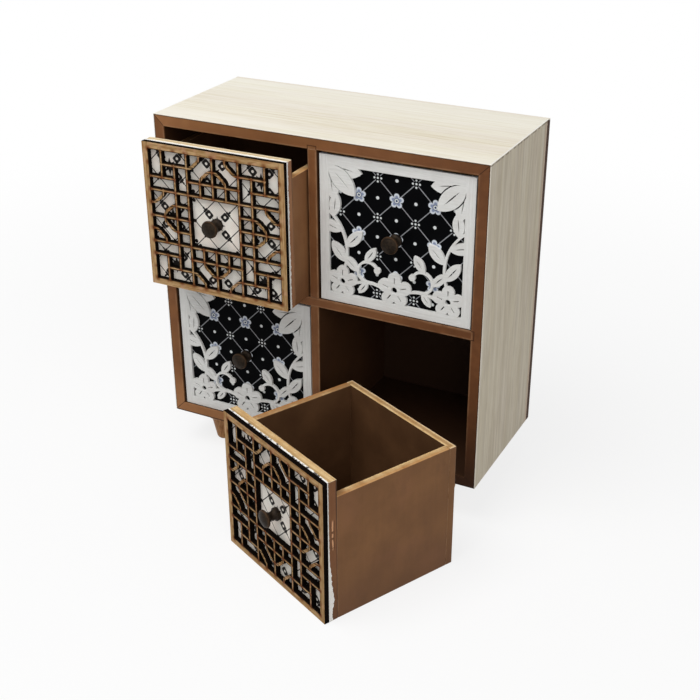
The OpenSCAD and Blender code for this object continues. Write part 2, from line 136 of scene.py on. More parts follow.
class Graph:
    """The node tree of one material, and coordinates in millimetres from a place in the model."""

    def __init__(self, name, place):
        self.material = bpy.data.materials.new(name)
        self.material.use_nodes = True
        self.tree = self.material.node_tree
        self.shader = self.tree.nodes["Principled BSDF"]
        centre, turn = place
        source = self.node("ShaderNodeTexCoord")
        mapping = self.node("ShaderNodeMapping", vector_type="TEXTURE")
        mapping.inputs["Location"].default_value = centre
        mapping.inputs["Rotation"].default_value = (0, 0, turn)
        mapping.inputs["Scale"].default_value = (MM, MM, MM)
        self.feed(mapping.inputs["Vector"], source.outputs["Object"])
        self.spot = mapping.outputs["Vector"]
        self.x, self.y, self.z = self.split(self.spot)
        back = self.node("ShaderNodeVectorRotate", rotation_type="Z_AXIS")
        self.feed(back.inputs["Vector"], source.outputs["Normal"])
        back.inputs["Angle"].default_value = -turn
        self.facing = self.split(back.outputs["Vector"])

    def node(self, kind, **settings):
        node = self.tree.nodes.new(kind)
        for key, value in settings.items():
            setattr(node, key, value)
        return node

    def feed(self, socket, value):
        """Links an output to a socket, or sets the socket to a constant or to a colour's code."""
        if isinstance(value, str):
            value = screen(value)
        if isinstance(value, Value):
            value = value.socket
        if isinstance(value, bpy.types.NodeSocket):
            self.tree.links.new(value, socket)
        else:
            socket.default_value = value

    def split(self, vector):
        node = self.node("ShaderNodeSeparateXYZ")
        self.feed(node.inputs[0], vector)
        return [Value(self, out) for out in node.outputs]

    def join(self, *parts):
        node = self.node("ShaderNodeCombineXYZ")
        for socket, part in zip(node.inputs, parts):
            self.feed(socket, part)
        return node.outputs[0]

    def math(self, operation, *values, clamp=False):
        node = self.node("ShaderNodeMath", operation=operation, use_clamp=clamp)
        for socket, value in zip(node.inputs, values):
            self.feed(socket, value)
        return Value(self, node.outputs[0])

    def size(self, value):
        return self.math("ABSOLUTE", value)

    def least(self, first, *others):
        for other in others:
            first = self.math("MINIMUM", first, other)
        return first

    def most(self, first, *others):
        for other in others:
            first = self.math("MAXIMUM", first, other)
        return first

    def length(self, across, up):
        return self.math("SQRT", across * across + up * up)

    def fold(self, value, period):
        """The distance to the nearest multiple of the period."""
        return self.math("PINGPONG", value, period / 2)

    def inside(self, depth, soft=0.12):
        """1 where the depth in millimetres is above zero and 0 where it is below, with a soft edge."""
        return self.math("MULTIPLY_ADD", depth, 1 / soft, 0.5, clamp=True)

    def between(self, value, low, high):
        """0 at low, 1 at high, and a smooth step from one to the other."""
        node = self.node("ShaderNodeMapRange", interpolation_type="SMOOTHSTEP")
        self.feed(node.inputs["Value"], value)
        node.inputs["From Min"].default_value = low
        node.inputs["From Max"].default_value = high
        return Value(self, node.outputs["Result"])

    def mix(self, share, first, second, blend="MIX"):
        node = self.node("ShaderNodeMix", data_type="RGBA", blend_type=blend)
        factor, below, above = (node.inputs[i] for i in (0, 6, 7))
        self.feed(factor, share)
        self.feed(below, first)
        self.feed(above, second)
        return node.outputs[2]

    def noise(self, size, detail=3, roughness=0.55, seed=0, spot=None):
        """Noise from 0 to 1 with blobs of a size in millimetres: one number, or one for each axis."""
        sizes = size if isinstance(size, tuple) else (size,) * 3
        scaled = self.node("ShaderNodeVectorMath", operation="MULTIPLY_ADD")
        self.feed(scaled.inputs[0], spot or self.spot)
        scaled.inputs[1].default_value = [1 / s for s in sizes]
        scaled.inputs[2].default_value = [seed * shift for shift in SEED_SHIFT]
        node = self.node("ShaderNodeTexNoise")
        self.feed(node.inputs["Vector"], scaled.outputs[0])
        node.inputs["Scale"].default_value = 1
        node.inputs["Detail"].default_value = detail
        node.inputs["Roughness"].default_value = roughness
        return Value(self, node.outputs["Fac"])

    def blobs(self, size, low, high, **noise):
        """1 in the blobs of a noise, where it is above high, and 0 where it is below low."""
        return self.between(self.noise(size, **noise), low, high)

    def edge(self):
        """1 on the rounded edges of a board whose flat sides are square to the axes."""
        flat = self.most(*[self.size(part) for part in self.facing])
        return 1 - self.between(flat, 0.82, 0.97)

    def finish(self, colour, roughness, relief=None, metallic=0.0, specular=0.5):
        """Sets the shader. Relief is a height in millimetres."""
        self.feed(self.shader.inputs["Base Color"], colour)
        self.feed(self.shader.inputs["Roughness"], roughness)
        self.shader.inputs["Metallic"].default_value = metallic
        self.shader.inputs["Specular IOR Level"].default_value = specular
        if relief is not None:
            bump = self.node("ShaderNodeBump")
            bump.inputs["Distance"].default_value = MM
            self.feed(bump.inputs["Height"], relief)
            self.feed(self.shader.inputs["Normal"], bump.outputs["Normal"])
        return self.material


def screen(code):
    """A linear colour from the hexadecimal code of the colour on a screen."""
    parts = [int(code[i:i + 2], 16) / 255 for i in (0, 2, 4)]
    return [p / 12.92 if p <= 0.04045 else ((p + 0.055) / 1.055) ** 2.4 for p in parts] + [1]


# ---- Boards and paper ----

PAINT_LIGHT = "8b5d39"
PAINT_DARK = "74492c"
PAINT_WORN = "c9a582"
PAINT_SEAM = "2a170c"
MDF_LIGHT = "ecce9a"
MDF_DARK = "d0a66c"
# Painted shade inside the bays: darker browns on the inner faces of level and upright boards
BAY_SHADE = {"x": ("3c2617", "2e1c11"), "z": ("50341f", "3c2517")}
BRUSH_ALONG = {"x": (60, 2.5, 2.5), "z": (2.5, 2.5, 60)}
DIAGONAL = math.sqrt(0.5)


def paint(g, along="z", light=PAINT_LIGHT, dark=PAINT_DARK):
    """Satin brown paint with clouds and brush marks: its colour and its relief."""
    clouds = g.blobs(24, 0.3, 0.7, detail=4)
    brushed = g.noise(BRUSH_ALONG[along], detail=3, seed=1)
    grit = g.noise(0.45, detail=2, seed=2)
    colour = g.mix(clouds * 0.6 + brushed * 0.4, dark, light)
    colour = g.mix(g.between(grit, 0.6, 0.8) * 0.16, colour, PAINT_WORN)
    return colour, brushed * 0.05 + grit * 0.03


def worn_edges(g, blob):
    """1 where a board's rounded edges are rubbed, in blobs of a size in millimetres."""
    return g.edge() * g.blobs(blob, 0.25, 0.6, detail=4, seed=3)


def bare_board(g):
    """Cut fibreboard that has no paint: its colour and its relief."""
    fibres = g.noise(0.7, detail=4, roughness=0.65, seed=4)
    clumps = g.noise(9, detail=2, seed=5)
    colour = g.mix(g.between(fibres * 0.4 + clumps * 0.6, 0.3, 0.7), MDF_DARK, MDF_LIGHT)
    specks = g.blobs((2.4, 2.4, 1), 0.6, 0.72, detail=3, roughness=0.7, seed=11)
    return g.mix(specks * 0.5, colour, "9c6c40"), fibres * 0.08


def carcass_joints(g):
    """1 in the lines where the boards of the carcass meet, as seen from the front, and in a line of
    painted shadow along the paper skin's edge.
    """
    shelf_housing = 2
    divider_housing = 2.3
    from_side = CABINET_HALF_W - g.size(g.x)
    from_end = g.least(CABINET_TOP - g.z, g.z - CABINET_BASE)
    mitre = g.inside(0.25 - g.size(from_side - from_end) * DIAGONAL, 0.3) * g.inside(SHELL_T - from_side)
    # Painted shadow: a dark line on the boards' front next to the paper skin, as in the gap
    skin = g.inside(WRAP_T + 0.45 - g.least(from_side, from_end), 0.4)
    shelf_end = g.most(
        g.size(g.z - SHELF_MIDDLE) - INNER_T / 2, SHELL_T - shelf_housing - from_side)
    shelf_end = g.inside(0.35 - g.size(shelf_end), 0.3) * g.inside(SHELL_T - from_side)
    divider_end = g.most(g.size(g.x) - INNER_T / 2, g.z - CEILING - divider_housing)
    divider_end = g.inside(0.3 - g.size(divider_end), 0.3) * g.inside(g.z - CEILING)
    return g.most(mitre, skin, shelf_end, divider_end)


def from_board_edge(g, along):
    """The distance on the front to the nearest long edge of a board that shows towards a bay."""
    if along == "x":
        outer = g.least(CABINET_TOP - g.z, g.z - CABINET_BASE)
        inner = g.size(g.z - SHELF_MIDDLE)
    else:
        outer = CABINET_HALF_W - g.size(g.x)
        inner = g.size(g.x)
    return g.least(g.size(outer - SHELL_T), g.size(inner - INNER_T / 2))


def faded_share(g, along):
    """1 where the front's paint is palest: the left of the level boards, the foot of the left side."""
    if along == "x":
        return 1 - g.between(g.x, -150, 20)
    return (1 - g.between(g.x, -120, -100)) * (1 - g.between(g.z, 42, 66))


def brown_board(name, along):
    """A board of the carcass: painted on its front edge, with painted shade inside the bays, towards the
    right and at the lower right.
    """
    g = Graph(name, CABINET_PLACE)
    colour, relief = paint(g, along)
    pale = g.mix(g.noise(9, seed=8), "b07c51", "95643e")
    colour = g.mix(faded_share(g, along), colour, pale)
    # Painted shade: the front grows darker towards the right
    right_shade = g.mix(g.noise(9, seed=9), "774b2d", "5c3922")
    colour = g.mix(g.between(g.x - g.z * 0.12, -10, 105), colour, right_shade)
    rubbed = g.blobs((14, 3, 14), 0.5, 0.7, detail=4, seed=10)
    colour = g.mix(rubbed * 0.22, colour, "96603a")
    # A lighter line along the edges that face the bays: partly wear, partly painted highlight on the
    # rounded edge
    arris_wear_and_highlight = 1 - g.between(from_board_edge(g, along), 0.5, 1.4)
    arris_wear_and_highlight = arris_wear_and_highlight * g.blobs(11, 0.3, 0.6, detail=3, seed=12)
    colour = g.mix(arris_wear_and_highlight * 0.3, colour, "b78e69")
    # Painted shadow at the lower right of the front, where the taken-out drawer shades it
    low_right_shadow = (1 - g.between(g.z, 20, 125)) * g.between(g.x, 40, 105)
    colour = g.mix(low_right_shadow * 0.9, colour, "2e1a0e")
    colour = g.mix(worn_edges(g, 9) * 0.6, colour, PAINT_WORN)
    colour = g.mix(carcass_joints(g) * 0.8, colour, PAINT_SEAM)
    # Painted shade: the inner faces of the bays darken from just behind the front edge
    in_shaded_bay = g.between(g.y, 0.3, 1.6)
    colour = g.mix(in_shaded_bay, colour, g.mix(g.noise(30, seed=6), *BAY_SHADE[along]))
    return g.finish(colour, 0.5 + g.noise(12, seed=7) * 0.12, relief, specular=0.15)


def printed_wood(g, on_top):
    """Printed wood, its grain along the cabinet on top and upright on its sides.

    Gives its colour, its streaks and its fibres.
    """
    blend = g.node("ShaderNodeMix", data_type="VECTOR")
    factor, first, second = (blend.inputs[i] for i in (0, 4, 5))
    g.feed(factor, on_top)
    g.feed(first, g.join(g.z, g.y, g.x))
    g.feed(second, g.join(g.x, g.y, 0))
    grain = blend.outputs[1]
    bands = g.noise((150, 9, 40), detail=3, seed=1, spot=grain)
    streaks = g.noise((70, 1.6, 20), detail=4, roughness=0.6, seed=2, spot=grain)
    fibres = g.noise((18, 0.35, 9), detail=2, seed=3, spot=grain)
    pores = g.blobs((9, 0.4, 5), 0.68, 0.78, detail=1, seed=4, spot=grain)
    rings = g.math("SINE", (streaks * 2.2 + bands * 26) * 3) * 0.5 + 0.5
    tint = g.blobs((190, 16, 60), 0.4, 0.6, detail=2, seed=8, spot=grain)
    colour = g.mix(g.between(bands, 0.35, 0.65), "f6f0e2", "f0e9d6")
    colour = g.mix(tint * 0.5, colour, "efe6dc")
    colour = g.mix(g.between(streaks, 0.42, 0.68) * (on_top * 0.4 + 0.4), colour, "dccfb2")
    colour = g.mix(rings * 0.13, colour, "d0bf9c")
    colour = g.mix(g.between(fibres, 0.5, 0.75) * 0.16, colour, "c9b999")
    colour = g.mix(pores * 0.25, colour, "9a8b72")
    return colour, streaks, fibres


def side_shade_and_clouds(g, colour, on_side):
    """Adds painted shade over the whole of the sides, and greyer clouds and upright streaks on them."""
    blotches = g.blobs((26, 3, 26), 0.42, 0.66, detail=4, seed=9)
    upright = g.blobs((30, 4.5, 90), 0.42, 0.62, detail=4, seed=11)
    # Painted shade: the whole of each side is a little darker than the top
    colour = g.mix(on_side * 0.35, colour, "dfd0b2")
    colour = g.mix(blotches * on_side * 0.3, colour, "c2b39c")
    return g.mix(upright * on_side * 0.25, colour, "b5a68e")


def paler_top(g, colour, on_top):
    """Makes the paper on top paler towards the back and the left, and along its front."""
    share = g.most(g.between(g.y, 25, 95), 0.5 - g.between(g.x, -100, 40) * 0.5)
    colour = g.mix(share * on_top * 0.55, colour, "fffdf1")
    front = 1 - g.between(g.y, 3, 34)
    return g.mix(front * on_top * 0.4, colour, "fdfaec")


def back_edge_painted(g, colour, on_side):
    """Adds what the sides show along their back edge: aged paper, a painted highlight along its cut and
    a strip of paint.
    """
    strip_w = 2.7
    from_back = CABINET_DEPTH - g.y
    aged = 1 - g.between(from_back, 5, 8)
    colour = g.mix(aged * on_side * 0.4, colour, "c7a389")
    # Painted highlight: a pale line just in front of the painted strip, along the paper's cut
    cut = g.inside(0.4 - g.size(from_back - strip_w - 0.4), 0.4)
    colour = g.mix(cut * on_side * 0.7, colour, "f3e6cf")
    return g.mix(g.inside(strip_w - from_back) * on_side, colour, "46291a")


def folded(g, colour, on_top, on_side):
    """Adds painted highlights along the paper's front edge, its folds and its rounded edges, and painted
    shade in a line below the fold on the sides.
    """
    # Painted highlight along the paper's front edge
    front_highlight = (1 - g.between(g.y, 0.7, 1.7)) * (on_top * 0.6 + 0.3)
    colour = g.mix(front_highlight, colour, "fffaf0")
    # Painted highlight along the fold over the sides
    fold = g.between(g.size(g.x) - CABINET_HALF_W, -1.1, -0.5) * on_top
    colour = g.mix(fold * 0.8, colour, "fffefa")
    # Painted shade: a broken dark line on the sides just below the fold
    shade_below_fold = g.inside(0.45 - g.size(CABINET_TOP - g.z - 1.0), 0.5) * on_side
    shade_below_fold = shade_below_fold * g.blobs((5, 5, 50), 0.38, 0.55, detail=3, seed=6)
    colour = g.mix(shade_below_fold * 0.7, colour, "6f6455")
    # Painted highlight on the paper's rounded edges
    return g.mix(g.edge() * 0.8, colour, "fffcf4")


def pale_paper():
    """The matt paper skin on the cabinet's top and sides."""
    g = Graph("pale_paper", CABINET_PLACE)
    on_top = g.between(g.facing[2], 0.5, 0.8)
    on_side = 1 - on_top
    colour, streaks, fibres = printed_wood(g, on_top)
    colour = side_shade_and_clouds(g, colour, on_side)
    colour = paler_top(g, colour, on_top)
    colour = back_edge_painted(g, colour, on_side)
    colour = folded(g, colour, on_top, on_side)
    return g.finish(colour, 0.62 + streaks * 0.1, fibres * 0.04 + streaks * 0.05, specular=0.12)


def back_board():
    """Dark painted hardboard with a fine woven texture, painted shade on its face towards the bays, and
    the paper folded over its upper edge.
    """
    g = Graph("back_board", CABINET_PLACE)
    weave = g.math("SINE", g.x * 3.6) * g.math("SINE", g.z * 3.6)
    clouds = g.noise(35, detail=4)
    colour = g.mix(g.between(clouds, 0.3, 0.7), "543623", "6a452c")
    # Painted shade: the face towards the bays is darker
    in_shaded_bay = g.inside(-0.5 - g.facing[1])
    colour = g.mix(in_shaded_bay, colour, "3d291b")
    scuffs = g.blobs((14, 14, 3), 0.62, 0.75, detail=5, roughness=0.7, seed=3)
    colour = g.mix(scuffs * (1 - in_shaded_bay) * 0.3, colour, PAINT_WORN)
    end = g.inside(g.size(g.x) - CABINET_HALF_W + 0.6)
    colour = g.mix(end, colour, "3b2314")
    over_edge = g.inside(g.z - CABINET_TOP + 0.6 + g.noise(4, seed=4) * 0.5, 0.1)
    paper = g.mix(g.noise((70, 1.6, 20), detail=4, seed=5), "ece3d2", "f4eee2")
    colour = g.mix(over_edge, colour, paper)
    relief = weave * 0.02 + g.noise(0.8, seed=2) * 0.05
    return g.finish(colour, 0.6 + clouds * 0.15, relief, specular=0.2)


def foot_wood(name, foot):
    """Stained wood turned on a lathe: upright grain with fine rings round the foot."""
    g = Graph(name, (Vector((*middle_of(foot).xy, 0)), 0))
    grain = g.noise((1.3, 1.3, 26), detail=4, roughness=0.6)
    rings = g.math("SINE", g.z * 9) * 0.5 + 0.5
    colour = g.mix(g.between(grain, 0.35, 0.68), "c08a56", "94602f")
    colour = g.mix(g.blobs(8, 0.4, 0.7, seed=2) * 0.3, colour, "cf9c66")
    return g.finish(colour, 0.42 + grain * 0.15, grain * 0.06 + rings * 0.02, specular=0.3)


# ---- Drawer boxes ----

def on_bare_top(g, height):
    """1 on the cut upper edge of a board that ends at a height."""
    return g.inside(g.facing[2] - 0.6, 0.2) * g.inside(g.z - (height - 0.6), 0.3)


def bare_front_top(g, is_open):
    """The bare upper edge of a front board, with a line of old glue: its colour and its relief."""
    bare, relief = bare_board(g)
    streaks = g.blobs((30, 1.1, 3), 0.45, 0.65, detail=3, seed=7)
    bare = g.mix(streaks * 0.45, bare, "b58552")
    # Painted light: the open drawer's bare top is paler
    if is_open:
        bare = g.mix(0.65, bare, "f8ebc9")
    glue_at = 3.2 if is_open else 1.1
    from_glue = g.size(g.y - glue_at + g.noise(12, seed=13) * 0.6 - 0.3)
    glue = 1 - g.between(from_glue, 0.4, 1.1)
    return g.mix(glue * 0.5, bare, "a98552"), relief


def chipped(g, colour, on_right):
    """Adds a row of chips in the paint on the right side of a front board."""
    middle = 13
    half_length = 10.5
    here = on_right * g.inside(half_length - g.size(g.z - middle), 2)
    from_row = g.size(g.y - FRONT_T / 2 + g.noise(6, seed=9))
    colour = g.mix(here * g.inside(1.6 - from_row, 0.4) * 0.5, colour, "4a2812")
    flakes = g.blobs((9, 9, 3.6), 0.36, 0.44, detail=4, seed=8)
    return g.mix(here * g.inside(0.6 - from_row, 0.2) * flakes, colour, "dba377")


def front_board(drawer):
    """A drawer's front board: painted but for its top edge, with chips on the one that is taken out."""
    g = Graph("front_board_" + drawer, drawer_place(drawer))
    is_open = drawer == OPEN_DRAWER
    # Painted light: the open drawer gets paler paint, as it stands in the light
    light, dark = ("b5835e", "a07050") if is_open else (PAINT_LIGHT, PAINT_DARK)
    colour, relief = paint(g, light=light, dark=dark)
    colour = g.mix(worn_edges(g, 7) * 0.8, colour, PAINT_WORN)
    # Painted shade: but on the open drawer, the front board darkens towards its foot
    if not is_open:
        low = 1 - g.between(g.z, -48, 0)
        colour = g.mix(low * 0.45, colour, "4f3319")
    on_right = g.inside(g.x - FACE_W / 2 + 0.7)
    box_joint = g.inside(g.y - FRONT_T + 0.9) * on_right * (g.between(g.z, 5, 40) * 0.45 + 0.45)
    colour = g.mix(box_joint, colour, "32190a")
    # Painted shade: the board's face towards the inside of the box is darker
    inner_face_shade = g.inside(g.y - FRONT_T + 0.1)
    colour = g.mix(inner_face_shade, colour, "563a24")
    bare, bare_relief = bare_front_top(g, is_open)
    if drawer == OUT_DRAWER:
        colour = chipped(g, colour, on_right)
    top = on_bare_top(g, FACE_H / 2)
    colour = g.mix(top, colour, bare)
    # Painted highlight on the rounded edges of the bare top
    colour = g.mix(top * g.edge() * 0.8, colour, "f6e6c4")
    return g.finish(colour, 0.55, relief + bare_relief * top, specular=0.2)


def box_paint(g, is_open):
    """The paint of a drawer box, with painted shade inside and near its floor, and painted light on the
    open drawer: its colour and its relief.
    """
    # Painted light: the open drawer's box gets paler paint
    light, dark = ("9d7049", "885d3c") if is_open else ("885e38", "734d2c")
    colour, relief = paint(g, light=light, dark=dark)
    patches = g.blobs(38, 0.45, 0.7, detail=3, seed=12)
    colour = g.mix(patches * 0.4, colour, "8a5d3f")
    grime = g.blobs((16, 16, 30), 0.5, 0.72, detail=5, roughness=0.7, seed=14)
    colour = g.mix(grime * 0.25, colour, "5f3f28")
    # Painted shade: darker towards the floor
    low = 1 - g.between(g.z, -50, -2)
    colour = g.mix(low * 0.4, colour, "5f3e28")
    # Painted shade on the inner faces of the box
    inner = g.inside(FACE_W / 2 - WALL_T + 0.2 - g.size(g.x)) * g.inside(BOX_BACK + 0.2 - g.y)
    inside_shade = g.mix(g.blobs(30, 0.3, 0.7, detail=4, seed=6), "69492f", "563a24")
    colour = g.mix(inner, colour, inside_shade)
    return g.mix(worn_edges(g, 8) * 0.4, colour, PAINT_WORN), relief


def bare_wall_top(g, is_back, stained):
    """The bare top edge of a box wall, with runs of paint on it: its colour and its relief."""
    bare, relief = bare_board(g)
    runs = g.blobs(14, 0.7 - stained * 0.6, 0.9 - stained * 0.6, detail=3, seed=9)
    bare = g.mix(runs * 0.7, bare, "9a6a40")
    outwards = g.most(g.size(g.x) - (FACE_W / 2 - WALL_T / 2), g.y - (BOX_BACK + WALL_T / 2))
    core = 1 - g.between(g.size(outwards + g.noise(9, seed=10) * 1.2 - 0.6), 0.5, 1.9)
    bare = g.mix(core * (0.65 if is_back else 0.3), bare, "9b6e42")
    rim = g.between(outwards, 1.2, 2.4) if is_back else g.between(outwards, -0.2, 1.6)
    return g.mix(rim * 0.6, bare, "f0d6b4" if is_back else "b4773f"), relief


def drawer_board(drawer, piece, stained, painted):
    """A wall or the floor of a drawer box.

    stained is how much paint ran onto its bare top edge. If painted is true, that edge isn't bare but
    gets the box's paint, as painted shade over an edge in shadow.
    """
    g = Graph(f"drawer_board_{piece}_{drawer}", drawer_place(drawer))
    colour, relief = box_paint(g, drawer == OPEN_DRAWER)
    top = on_bare_top(g, WALL_TOP) * (0 if painted else 1)
    bare, bare_relief = bare_wall_top(g, piece == "back_wall", stained)
    colour = g.mix(top, colour, bare)
    return g.finish(colour, 0.52 + top * 0.2, relief + bare_relief * top, specular=0.2)


# ---- Drawer faces ----

LATTICE_RIM_W = 4.8
LATTICE_GRID = 10
CUTOUT_RIM_W = 6.8


def wood_grain(g, sizes, seed):
    """Grain with blobs of a size in millimetres for each axis, and finer ones in it."""
    fine = g.noise(tuple(s * 0.25 for s in sizes), detail=4, roughness=0.65, seed=seed)
    broad = g.noise(sizes, detail=3, seed=seed + 1)
    return fine * 0.5 + broad * 0.5


def framed_grain(g, rim_w, long, narrow):
    """Grain that runs across the drawer's face, but upright on the two upright sides of its rim."""
    upright = g.inside(g.size(g.x) - (FACE_W / 2 - rim_w), 1)
    level_grain = wood_grain(g, (long, 9, narrow), 1)
    upright_grain = wood_grain(g, (narrow, 9, long), 3)
    return level_grain * (1 - upright) + upright_grain * upright


def scorched(g, colour):
    """Adds what the laser burnt into the lattice's face: dark joints, and a line along each edge."""
    bar_core, line_end, arc_from = 0.55, 1.55, 1.7
    from_upright = g.fold(g.x, (FACE_W - 2 * LATTICE_RIM_W) / LATTICE_GRID)
    from_level = g.fold(g.z, (FACE_H - 2 * LATTICE_RIM_W) / LATTICE_GRID)
    from_joint = g.length(from_upright, from_level)
    joints = (1 - g.between(from_joint, 0.7, 3.4)) * g.blobs(7, 0.34, 0.52, detail=3, seed=7)
    colour = g.mix(joints * 0.85, colour, "6f3517")
    into_rim = g.most(g.size(g.x) - FACE_W / 2, g.size(g.z) - FACE_H / 2) + LATTICE_RIM_W
    on_bars = g.inside(0 - into_rim)
    from_bar = g.least(from_upright, from_level) + g.noise(2.5, detail=3, seed=11) * 0.5
    arcs = g.inside(from_bar - arc_from, 0.3) * on_bars * g.blobs(1.6, 0.4, 0.6, detail=3, seed=12)
    colour = g.mix(arcs * 0.6, colour, "5d3d1b")
    bar_lines = g.between(from_bar, bar_core, 0.9) * g.inside(line_end - from_bar, 0.2) * on_bars
    rim_line = (1 - g.between(into_rim, 0.3, 0.7)) * g.inside(into_rim, 0.05)
    return g.mix(g.most(bar_lines, rim_line) * 0.92, colour, "1d0f07")


def lattice_wood(drawer):
    """Laser-cut plywood: a tan face that is scorched along its edges and joints, and charred sides."""
    g = Graph("lattice_wood_" + drawer, drawer_place(drawer))
    grain = framed_grain(g, LATTICE_RIM_W, 30, 1.8)
    colour = g.mix(g.between(grain, 0.38, 0.6), "977448", "caa779")
    patches = g.blobs(11, 0.45, 0.7, detail=4, seed=6)
    colour = g.mix(patches * 0.6, colour, "a06a3e")
    rosy = g.blobs(6, 0.5, 0.7, detail=3, seed=10)
    colour = g.mix(rosy * 0.4, colour, "d3a288")
    colour = scorched(g, colour)
    off_face = 1 - g.size(g.facing[1])
    colour = g.mix(g.between(off_face, 0.004, 0.04) * 0.8, colour, "4b2a12")
    char = g.between(off_face, 0.05, 0.22)
    soot = g.mix(g.noise(1.5, detail=4, seed=8), "060403", "140d09")
    colour = g.mix(char, colour, soot)
    relief = grain * 0.06 + char * g.noise(0.5, seed=9) * 0.1
    return g.finish(colour, 0.7 + char * 0.25, relief, specular=0.03)


def white_cutout(drawer):
    """White paint on thin board, with a little of the grain showing through."""
    g = Graph("white_cutout_" + drawer, drawer_place(drawer))
    grain = framed_grain(g, CUTOUT_RIM_W, 26, 1.2)
    colour = g.mix(g.between(grain, 0.4, 0.62), "e4e4e0", "f0f0ed")
    clouds = g.blobs(14, 0.45, 0.7, detail=4, seed=5)
    colour = g.mix(clouds * 0.3, colour, "dcd6d2")
    # Painted highlight on the rounded edges
    colour = g.mix(g.edge() * 0.5, colour, "f4f4f1")
    return g.finish(colour, 0.55 + grain * 0.15, grain * 0.07, specular=0.25)


def blossoms(g, colour, period, from_middle):
    """Adds a blossom with five petals and a dark heart at each crossing of a grid."""
    petal_at, petal_r = 3.3, 1.9
    shade_at, shade_r = 2.2, 1.5
    heart_r, ring_r, dot_r = 1.75, 1.5, 0.75
    half = period / 2
    turn = g.math("ARCTAN2", g.math("WRAP", g.x, half, -half), g.math("WRAP", g.z, half, -half))
    turn = g.fold(turn, math.tau / 5)
    along_petal = from_middle * g.math("COSINE", turn)
    beside_petal = from_middle * g.math("SINE", turn)
    petals = g.inside(petal_r - g.length(along_petal - petal_at, beside_petal), 0.25)
    shade = g.inside(shade_r - g.length(along_petal - shade_at, beside_petal * 1.3), 0.7)
    colour = g.mix(petals, colour, "d9dfe7")
    colour = g.mix(shade * 0.8, colour, "6c7ba0")
    colour = g.mix(g.inside(heart_r - from_middle, 0.3), colour, "131c38")
    colour = g.mix(g.inside(ring_r - from_middle, 0.25), colour, "e6eaea")
    return g.mix(g.inside(dot_r - from_middle, 0.3), colour, "1c2d5e")


def dark_print(drawer):
    """Black paper with a printed trellis: blossoms and clusters of dots, joined by slanting lines."""
    g = Graph("dark_print_" + drawer, drawer_place(drawer))
    period = 27.3
    dot_r = 1.15
    cluster_middle_r, cluster_dot_r, cluster_step = 0.75, 0.72, 2.45
    line_half_w = 0.3
    blossom_clear, cluster_clear = 3.4, 2.1
    half = period / 2
    across = g.fold(g.x, period)
    up = g.fold(g.z, period)
    from_blossom = g.length(across, up)
    from_cluster = g.length(half - across, half - up)
    cluster_far = g.most(half - across, half - up)
    cluster_near = g.least(half - across, half - up)
    from_outer_dot = g.length(cluster_far - cluster_step, cluster_near)
    cluster = g.most(
        g.inside(cluster_dot_r - from_outer_dot, 0.25), g.inside(cluster_middle_r - from_cluster, 0.25))
    dots = g.inside(dot_r - g.length(half - g.most(across, up), g.least(across, up)), 0.25)
    line = g.inside(line_half_w - g.size(across - up) * DIAGONAL, 0.2)
    line = line * g.inside(from_blossom - blossom_clear) * g.inside(from_cluster - cluster_clear)
    ground = g.mix(g.noise(18, detail=3), "040506", "0a0a0c")
    colour = g.mix(line, ground, g.mix(g.noise(3, seed=2), "84868a", "b4b6ba"))
    colour = g.mix(g.most(cluster, dots), colour, "e6eaea")
    colour = blossoms(g, colour, period, from_blossom)
    return g.finish(colour, 0.5 + g.noise(5, seed=3) * 0.15, g.noise(0.6, seed=4) * 0.02, specular=0.02)


def tile_ink(g):
    """1 on the ink of a tile pattern: slanting lines, rings, crosses and spiky blossoms."""
    period = 36
    line_half_w = 0.33
    ring_at, ring_half_l, ring_half_w, ring_round, ring_hole_r = 8.9, 2.9, 2.6, 1.2, 1.0
    half = period / 2
    across = g.fold(g.x, period)
    up = g.fold(g.z, period)
    far = g.most(across, up)
    near = g.least(across, up)
    out = (across + up) * DIAGONAL
    aside = g.size(across - up) * DIAGONAL
    past_edge = out - half * DIAGONAL
    edge_line = g.inside(line_half_w - g.size(past_edge))
    outer_line = g.inside(line_half_w - aside) * g.inside(past_edge)
    cross = g.most(
        g.inside(0.85 - g.size(past_edge)) * g.inside(1.9 - aside),
        g.inside(0.7 - aside) * g.inside(1.7 - g.size(past_edge - 1)))
    past_ring = out - ring_at
    from_ring_core = g.length(
        g.most(g.size(past_ring) - (ring_half_l - ring_round), 0),
        g.most(aside - (ring_half_w - ring_round), 0))
    ring = g.inside(ring_round - from_ring_core) * g.inside(g.length(past_ring, aside) - ring_hole_r)
    spikes = g.most(
        g.inside((6.4 - far) * 0.32 - near), g.inside((5.9 - out) * 0.3 - aside))
    corner_far = g.most(half - across, half - up)
    corner_near = g.least(half - across, half - up)
    from_corner = g.length(corner_far, corner_near)
    corner = g.most(
        g.inside(1.4 - g.length(corner_far - 3.1, corner_near)),
        g.inside(1.5 - from_corner) * g.inside(from_corner - 0.5))
    knot = g.inside(1.3 - g.length(half - far, near))
    return g.most(edge_line, outer_line, cross, ring, spikes, corner, knot)


